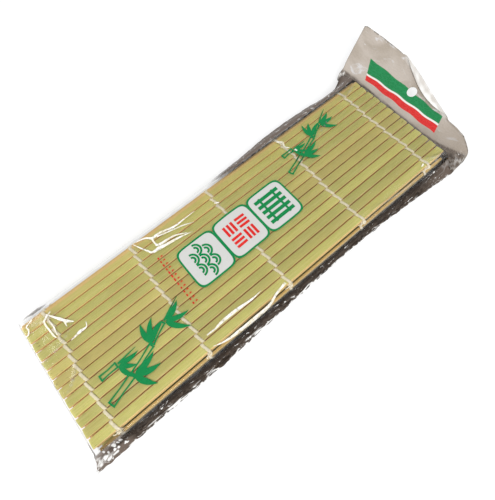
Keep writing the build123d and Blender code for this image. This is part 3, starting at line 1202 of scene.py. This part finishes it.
def draw_fence(art, x, y):
    """Five canes with two thinner ones across them."""
    for k in range(5):
        art.bar(x, y + k * 3.6 - 7.2, 8.2, 0.0, 2.1)
    for cross in (-4.6, 4.6):
        art.bar(x + cross, y, 0.0, 8.6, 1.3)


def build_tiles(sizes, green, red, pale):
    """Three pale tiles with green borders, and plain kitchen marks in them."""
    fill, border = Print(sizes, GROUND_LIFT), Print(sizes, BORDER_LIFT)
    marks_green, marks_red = Print(sizes, MARK_LIFT), Print(sizes, MARK_LIFT)
    for x, y in TILES:
        fill.block(x, y, *TILE_HALF, TILE_CORNER)
        border.frame(x, y, *BORDER_HALF, BORDER_CORNER, BORDER_WIDTH)
    draw_waves(marks_green, *TILES[0])
    draw_basket(marks_red, *TILES[1])
    draw_fence(marks_green, *TILES[2])
    fill.piece("print_tile_ground", pale)
    border.piece("print_tile_borders", green)
    marks_green.piece("print_tile_marks_green", green)
    marks_red.piece("print_tile_mark_red", red)


def cane(art, x, y, heading, length, width):
    """One length of cane, drawn as two lines with a bar at each end."""
    c, s = math.cos(heading), math.sin(heading)
    for side in (-1, 1):
        x0, y0 = x - s * width / 2 * side, y + c * width / 2 * side
        x1, y1 = x0 + c * length, y0 + s * length
        bow = 0.25 * side
        middle = ((x0 + x1) / 2 + s * bow, (y0 + y1) / 2 - c * bow)
        art.stroke([(x0, y0), middle, (x1, y1)], [0.9, 0.7, 0.9])
    reach = width / 2 + 0.5
    for end in (0.0, length):
        x0, y0 = x + c * end, y + s * end
        ends = (x0 - s * reach, y0 + c * reach), (x0 + s * reach, y0 - c * reach)
        art.stroke([ends[0], (x0, y0), ends[1]], [0.7, 0.9, 0.7])


def sprig(art, x, y, heading, joints, size, seed):
    """A bamboo cane in joints, with a fan of leaves at every joint and a bare tip."""
    chance = random.Random(seed)
    for joint, length in enumerate(joints):
        cane(art, x, y, heading, length - 0.9, size * (1.15 - 0.25 * joint))
        x, y = x + math.cos(heading) * length, y + math.sin(heading) * length
        side = 1 if joint % 2 else -1
        for k in range(3):
            turn = heading + side * (0.5 + 0.55 * k) + chance.uniform(-0.08, 0.08)
            length, width = size * chance.uniform(4.0, 5.2), size * chance.uniform(1.0, 1.2)
            art.leaf(x + math.cos(turn) * 0.8, y + math.sin(turn) * 0.8, turn, length, width, -side * 0.7)
        heading += chance.uniform(-0.05, 0.12)
    tip = (x + math.cos(heading) * size * 5.0, y + math.sin(heading) * size * 5.0)
    art.stroke([(x, y), ((x + tip[0]) / 2 - 0.3, (y + tip[1]) / 2), tip], [1.1, 0.8, 0.3])


def build_sprigs(sizes, green):
    """Two sprigs of bamboo at the two ends of the print."""
    near, far = Print(sizes, SPRIG_LIFT), Print(sizes, SPRIG_LIFT)
    sprig(near, -103.0, -25.0, heading=0.30, joints=(16.0, 16.0, 12.0), size=2.7, seed=5)
    sprig(near, -101.0, -12.0, heading=0.05, joints=(10.0,), size=2.2, seed=12)
    sprig(far, 43.0, 12.0, heading=0.34, joints=(15.0, 14.0, 10.0), size=2.3, seed=8)
    sprig(far, 47.0, 23.0, heading=0.0, joints=(8.0,), size=1.8, seed=29)
    near.piece("print_sprig_near", green)
    far.piece("print_sprig_far", green)


def build_small_marks(sizes, red):
    """A short row of plain red dashes beside the tiles."""
    art = Print(sizes, SPRIG_LIFT)
    chance = random.Random(4)
    for k in range(13):
        x, y = -45.3, -12.2 + k * 2.6
        long = chance.uniform(1.0, 2.0)
        art.stroke([(x, y), (x, y + long / 2), (x, y + long)], [0.6, 0.9, 0.6])
        art.stroke([(-43.8, y + 0.4), (-43.2, y + 0.9), (-42.6, y + 0.5)], [0.5, 0.7, 0.5])
    art.piece("print_small_marks", red)


# The header: the line it starts from, the foot of its slope, where its flat part begins, and its top edge
HEADER_SEAL = (124.2, 0.45)
HEADER_FOOT = (123.0, 5.0)
HEADER_SLOPE = math.radians(30)
HEADER_START, HEADER_FLAT = -3.0, 3.5
HEADER_TOP = [
    (-46.6, 4.6), (-45.6, 8.6), (-44.4, 10.8), (-40.6, 13.4), (-36.0, 15.9), (-30.0, 17.0),
    (-22.0, 17.5), (-9.7, 21.3), (4.0, 25.7), (18.3, 30.2), (22.6, 31.6), (26.0, 32.3),
    (38.0, 33.0), (50.0, 33.0), (51.6, 32.2),
]
# The hang hole: height up the header, place along it and radius
HANG_HOLE = (18.1, 5.4, 3.0)
# Rows of points up the header and over its folded edge, the radius of that fold, and the film's thickness
FLAT_ROWS, FOLD_ROWS = 36, 12
FOLD_RADIUS = 0.75
HEADER_FILM = 0.25
# The stretch of the top edge that is folded back, and how deep the fold is at its middle
SPARE_START, SPARE_END, SPARE_DEPTH = -23.0, 24.0, 6.2
# Height of the seal line up the header, where it shows past the end of the mat
SEAL_LINE = [
    (-46.6, 8.4), (-39.0, 6.4), (-27.6, 4.2), (-16.0, 3.5), (18.0, 3.9), (30.0, 4.2),
    (41.0, 4.8), (51.6, 3.6),
]


def header_slope(u):
    """Place along and up the packet, and slope, of the flat part of the header."""
    rise = (math.cos(HEADER_SLOPE) * u, math.sin(HEADER_SLOPE) * u)
    return HEADER_FOOT[0] + rise[0], HEADER_FOOT[1] + rise[1], HEADER_SLOPE


def header_bend(u):
    """The same for the stretch that bends up from the seal to the flat part."""
    t = (u - HEADER_START) / (HEADER_FLAT - HEADER_START)
    end = header_slope(HEADER_FLAT)[:2]
    middle = (HEADER_SEAL[0] + 0.5, end[1] - 0.9)
    place, way = [], []
    for a, b, c in zip(HEADER_SEAL, middle, end):
        place.append((1 - t) ** 2 * a + 2 * t * (1 - t) * b + t * t * c)
        way.append((1 - t) * (b - a) + t * (c - b))
    return *place, math.atan2(way[1], way[0])


def header_frame(u, v):
    """Place, way up and way out of the header at a height u up its slope."""
    flare = 0.27 * (u - HEADER_FLAT) * smooth_share(v, 8.0, 50.0) * smooth_share(u, HEADER_FLAT, 9.0)
    x, z, angle = header_slope(u) if u >= HEADER_FLAT else header_bend(u)
    up = Vector((math.cos(angle), 0, math.sin(angle)))
    out = Vector((-math.sin(angle), 0, math.cos(angle)))
    return Vector((x, v + flare, z)), up, out


def header_point(u, v):
    """Point of the header's film with its waves and crumples, and how sharply it is crumpled there."""
    p, _, out = header_frame(u, v)
    wave = 0.55 * noise.noise((u * 0.07, v * 0.045, 2.0)) + 0.2 * noise.noise((u * 0.2, v * 0.16, 6.0))
    low = 1 - smooth_share(u, 1.5, 5.0)
    near_corner = smooth_share(-v, 34, 44) * (1 - smooth_share(u, 7.0, 12.0))
    far_corner = smooth_share(v, 43, 50) * (1 - smooth_share(u, 2.5, 6.0))
    calm = smooth_share(math.hypot(u - HANG_HOLE[0], v - HANG_HOLE[1]), 2.5, 6.0)
    sharp = crumple(u, v, 3.6, 7.0) * min(1.0, 0.3 * low + near_corner + far_corner) * calm
    return p + out * (wave * smooth_share(u, 0.0, 8.0) * (0.3 + 0.7 * calm) + sharp * 1.1), sharp


def spare_film(v):
    """How far the film is folded back over the header's top edge."""
    if not SPARE_START < v < SPARE_END:
        return 0.0
    return SPARE_DEPTH * math.sin(math.pi * (v - SPARE_START) / (SPARE_END - SPARE_START)) ** 0.8


def round_hole(u, v):
    """A place moved onto the edge of the hang hole where it is close to it, and whether it lies inside."""
    hole_u, hole_v, radius = HANG_HOLE
    distance = math.hypot(u - hole_u, v - hole_v)
    if radius * 0.62 < distance < radius * 1.34:
        u = hole_u + (u - hole_u) * radius / distance
        v = hole_v + (v - hole_v) * radius / distance
    return u, v, distance <= radius * 0.62


def header_flat(row, v):
    """Point, UV pair, painted shade, painted highlight and hole of the header below its top edge."""
    top, spare = between(HEADER_TOP, v), spare_film(v)
    u, v, hole = round_hole(HEADER_START + (top - HEADER_START) * row / (FLAT_ROWS - 1), v)
    p, sharp = header_point(u, v)
    seal = between(SEAL_LINE, v)
    # Painted highlights on the crumples, and by the top edge where film is folded back over it
    white = smooth_share(sharp, 0.62, 0.95) * (0.35 if v < 0 else 0.7)
    white = max(white, 0.75 * smooth_share(u, top - 1.6, top - 0.2) * smooth_share(spare, 0.5, 3.0))
    # Painted shade: a dark line at the seal, the stretch below it, and a thin line along the top edge
    line = math.exp(-((u - seal) / 0.45) ** 2)
    under = (1 - smooth_share(u, seal - 0.6, seal + 0.2)) * 0.82
    edge = 0.6 * smooth_share(u, top - 0.9, top) * (1 - smooth_share(spare, 0.2, 1.5))
    return p, (u, v), max(max(line, under) * (1 - white), edge), white, hole


def header_fold(row, v):
    """The same for the film that is folded back over the top edge."""
    top, spare = between(HEADER_TOP, v), spare_film(v)
    share = (row + 1) / FOLD_ROWS
    run = spare * share
    angle = min(math.pi, run / FOLD_RADIUS)
    back = max(0.0, run - math.pi * FOLD_RADIUS)
    _, up, out = header_frame(top, v)
    p, _ = header_point(top, v)
    p += up * (FOLD_RADIUS * math.sin(angle) - back)
    p += out * (FOLD_RADIUS * (1 - math.cos(angle)) - back * 0.05)
    p += out * (0.35 * noise.noise((v * 0.2, share * 2.0, 1.0)) * share)
    # Painted sheen on the folded-back film
    white = 0.4 + 0.6 * smooth_share(noise.noise((v * 0.16, share * 1.6, 5.0)), -0.1, 0.3)
    return p, (top + 1.5 + run, v), 0.0, white * smooth_share(spare, 0.3, 2.0), False


def build_header(material):
    """The doubled film beyond the packet, with its hang hole and its top edge partly folded back."""
    columns = spaced(HEADER_TOP[0][0], HEADER_TOP[-1][0], 0.95)
    film, holes = Sheet(), []
    for row in range(FLAT_ROWS + FOLD_ROWS):
        for v in columns:
            made = header_flat(row, v) if row < FLAT_ROWS else header_fold(row - FLAT_ROWS, v)
            p, uv, fold, white, hole = made
            # Painted shade goes in the first value, painted highlights in the second
            film.point(p, uv, fold=fold, crease=min(1.0, white))
            holes.append(hole)
    faces = grid_faces(FLAT_ROWS + FOLD_ROWS, len(columns))
    faces = [face for face in faces if not any(holes[i] for i in face)]
    piece = film.piece("header_sheet", faces, material)
    clean_up(piece.data)
    thick = piece.modifiers.new("two_films", "SOLIDIFY")
    thick.thickness = HEADER_FILM * MM
    thick.offset = 0.0
    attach(piece, "bag")
    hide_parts("header_flap")
    return piece


def clean_up(mesh):
    """Drops loose points and merges the ones that lie together."""
    work = bmesh.new()
    work.from_mesh(mesh)
    bmesh.ops.remove_doubles(work, verts=work.verts, dist=0.02 * MM)
    loose = [v for v in work.verts if not v.link_faces]
    bmesh.ops.delete(work, geom=loose, context="VERTS")
    work.to_mesh(mesh)
    work.free()


# Operators

class ROLLINGMAT_OT_build_slats(bpy.types.Operator):
    """Build the bamboo slats"""

    bl_idname = "rolling_mat.build_slats"
    bl_label = "Build Slats"

    def execute(self, context):
        sizes = context.scene.rolling_mat_sizes
        material = bamboo_material(context.scene.rolling_mat_finishes)
        for number, place in enumerate(slat_places(sizes), 1):
            build_slat(number, place, sizes, material)
        return {"FINISHED"}


class ROLLINGMAT_OT_build_threads(bpy.types.Operator):
    """Build the twined threads and their knots"""

    bl_idname = "rolling_mat.build_threads"
    bl_label = "Build Threads"

    def execute(self, context):
        sizes = context.scene.rolling_mat_sizes
        material = yarn_material(context.scene.rolling_mat_finishes)
        places = slat_places(sizes)
        for number in range(1, SLAT_COUNT):
            build_gap_threads(number, places, sizes, material)
        build_knots(
            "thread_knots_first", places[0], "knots_first_edge", "lower_third", False, sizes, material)
        build_knots(
            "thread_knots_last", places[-1], "knots_last_edge", "upper_third", True, sizes, material)
        return {"FINISHED"}


class ROLLINGMAT_OT_build_film(bpy.types.Operator):
    """Build the two films of the bag and the painted glare on the front one"""

    bl_idname = "rolling_mat.build_film"
    bl_label = "Build Film"

    def execute(self, context):
        sizes = context.scene.rolling_mat_sizes
        paints = context.scene.rolling_mat_finishes
        build_front_film(sizes, film_material("clear_film", paints, least=0.03))
        build_back_film(film_material("back_film", paints, least=0.1))
        build_painted_glare(sizes, painted_glare_material())
        return {"FINISHED"}


class ROLLINGMAT_OT_build_print(bpy.types.Operator):
    """Build the print on the front film"""

    bl_idname = "rolling_mat.build_print"
    bl_label = "Build Print"

    def execute(self, context):
        sizes = context.scene.rolling_mat_sizes
        paints = context.scene.rolling_mat_finishes
        green = ink_material("green_print", tuple(paints.green_ink), linear(10, 156, 92))
        red = ink_material("red_print", tuple(paints.red_ink), linear(232, 90, 80))
        pale = ink_material("pale_print", tuple(paints.tile_ink), linear(206, 208, 196))
        build_tiles(sizes, green, red, pale)
        build_sprigs(sizes, green)
        build_small_marks(sizes, red)
        return {"FINISHED"}


class ROLLINGMAT_OT_build_header(bpy.types.Operator):
    """Build the header with its hang hole and printed bands"""

    bl_idname = "rolling_mat.build_header"
    bl_label = "Build Header"

    def execute(self, context):
        build_header(header_material(context.scene.rolling_mat_finishes))
        return {"FINISHED"}


class ROLLINGMAT_OT_build_stage(bpy.types.Operator):
    """Build the floor, the lights and the camera"""

    bl_idname = "rolling_mat.build_stage"
    bl_label = "Build Stage"

    def execute(self, context):
        scene = context.scene
        scene.view_settings.view_transform = "Standard"
        build_floor()
        build_lights(scene)
        build_camera(scene)
        return {"FINISHED"}


def build_floor():
    """A pale floor that looks white to the camera and keeps the packet's shadow."""
    n = Nodes("studio_floor")
    lit = n.node("ShaderNodeBsdfDiffuse", Color=(0.8, 0.8, 0.8))
    soft = n.node("ShaderNodeBsdfDiffuse", Color=(0.5, 0.5, 0.5))
    glow = n.node("ShaderNodeEmission", Color=(1.0, 1.0, 1.0), Strength=0.55)
    seen = n.node("ShaderNodeAddShader")
    n.put(soft.outputs[0], seen.inputs[0])
    n.put(glow.outputs[0], seen.inputs[1])
    path = n.node("ShaderNodeLightPath")
    rays = ("Is Glossy Ray", "Is Transmission Ray", "Is Camera Ray")
    looked_at = n.most(*[path.outputs[ray] for ray in rays])
    n.surface(n.mix_shaders(looked_at, lit.outputs[0], seen.outputs[0]))
    half, under = 3000.0, -0.05
    corners = [(-half, -half, under), (half, -half, under), (half, half, under), (-half, half, under)]
    floor = make_piece("studio_floor", corners, [(0, 1, 2, 3)], n.material)


def build_lights(scene):
    """A bright even room, a soft window light, and weaker ones from the side and the back."""
    world = bpy.data.worlds.new("studio_room")
    scene.world = world
    world.use_nodes = True
    room = world.node_tree.nodes["Background"]
    room.inputs["Color"].default_value = (0.96, 0.98, 1.0, 1.0)
    room.inputs["Strength"].default_value = 0.62
    add_light(scene, "window", (-0.30, -0.50, 0.62), width=0.34, power=3.6, colour=(1.0, 0.985, 0.96))
    add_light(scene, "side", (0.55, -0.20, 0.5), width=0.4, power=1.0, colour=(0.97, 0.98, 1.0))
    add_light(scene, "back", (-0.50, 0.35, 0.42), width=0.3, power=1.5, colour=(1.0, 1.0, 1.0))


def add_light(scene, name, place, width, power, colour):
    """A square soft lamp that points at the middle of the packet."""
    lamp = bpy.data.lights.new(name, "AREA")
    lamp.size = width
    lamp.energy = power
    lamp.color = colour
    holder = bpy.data.objects.new(name, lamp)
    holder.location = place
    holder.rotation_euler = (-Vector(place)).to_track_quat("-Z", "Y").to_euler()
    scene.collection.objects.link(holder)


# The photo's camera: its width and focal length in pixels, and a sensor width in millimetres for Blender
PHOTO_WIDTH = 495
FOCAL_LENGTH = 350
SENSOR_WIDTH = 36.0


def build_camera(scene):
    """A camera close above the near end of the packet, with the header far from it."""
    right = Vector((0.76484, -0.64306, -0.03864))
    down = Vector((-0.61412, -0.70967, -0.34529))
    ahead = Vector((0.19462, 0.28783, -0.93770))
    eye = Vector((-0.04241, -0.06124, 0.18834))
    data = bpy.data.cameras.new("photo_view")
    data.sensor_fit = "HORIZONTAL"
    data.sensor_width = SENSOR_WIDTH
    data.lens = SENSOR_WIDTH * FOCAL_LENGTH / PHOTO_WIDTH
    data.clip_start = 0.005
    holder = bpy.data.objects.new("photo_view", data)
    turn = Matrix((right, -down, -ahead)).transposed().to_4x4()
    holder.matrix_world = Matrix.Translation(eye) @ turn
    scene.collection.objects.link(holder)
    scene.camera = holder


class ROLLINGMAT_PT_panel(bpy.types.Panel):
    """Steps and settings of the rolling mat"""

    bl_label = "Rolling Mat"
    bl_idname = "ROLLINGMAT_PT_panel"
    bl_space_type = "VIEW_3D"
    bl_region_type = "UI"
    bl_category = "Rolling Mat"

    def draw(self, context):
        for step in STEPS:
            self.layout.operator(step.bl_idname)
        scene = context.scene
        for group, title in ((scene.rolling_mat_sizes, "Sizes"), (scene.rolling_mat_finishes, "Finishes")):
            box = self.layout.box()
            box.label(text=title)
            for name in group.__annotations__:
                box.prop(group, name)


STEPS = (
    ROLLINGMAT_OT_build_stage,
    ROLLINGMAT_OT_build_slats,
    ROLLINGMAT_OT_build_threads,
    ROLLINGMAT_OT_build_film,
    ROLLINGMAT_OT_build_print,
    ROLLINGMAT_OT_build_header,
)
CLASSES = (RollingMatSizes, RollingMatFinishes, *STEPS, ROLLINGMAT_PT_panel)


def register():
    for cls in CLASSES:
        bpy.utils.register_class(cls)
    bpy.types.Scene.rolling_mat_sizes = bpy.props.PointerProperty(type=RollingMatSizes)
    bpy.types.Scene.rolling_mat_finishes = bpy.props.PointerProperty(type=RollingMatFinishes)


def unregister():
    del bpy.types.Scene.rolling_mat_finishes
    del bpy.types.Scene.rolling_mat_sizes
    for cls in reversed(CLASSES):
        bpy.utils.unregister_class(cls)


def main():
    """Builds the stage and every piece."""
    register()
    bpy.ops.rolling_mat.build_stage()
    bpy.ops.rolling_mat.build_slats()
    bpy.ops.rolling_mat.build_threads()
    bpy.ops.rolling_mat.build_film()
    bpy.ops.rolling_mat.build_print()
    bpy.ops.rolling_mat.build_header()


if __name__ == "__main__":
    main()
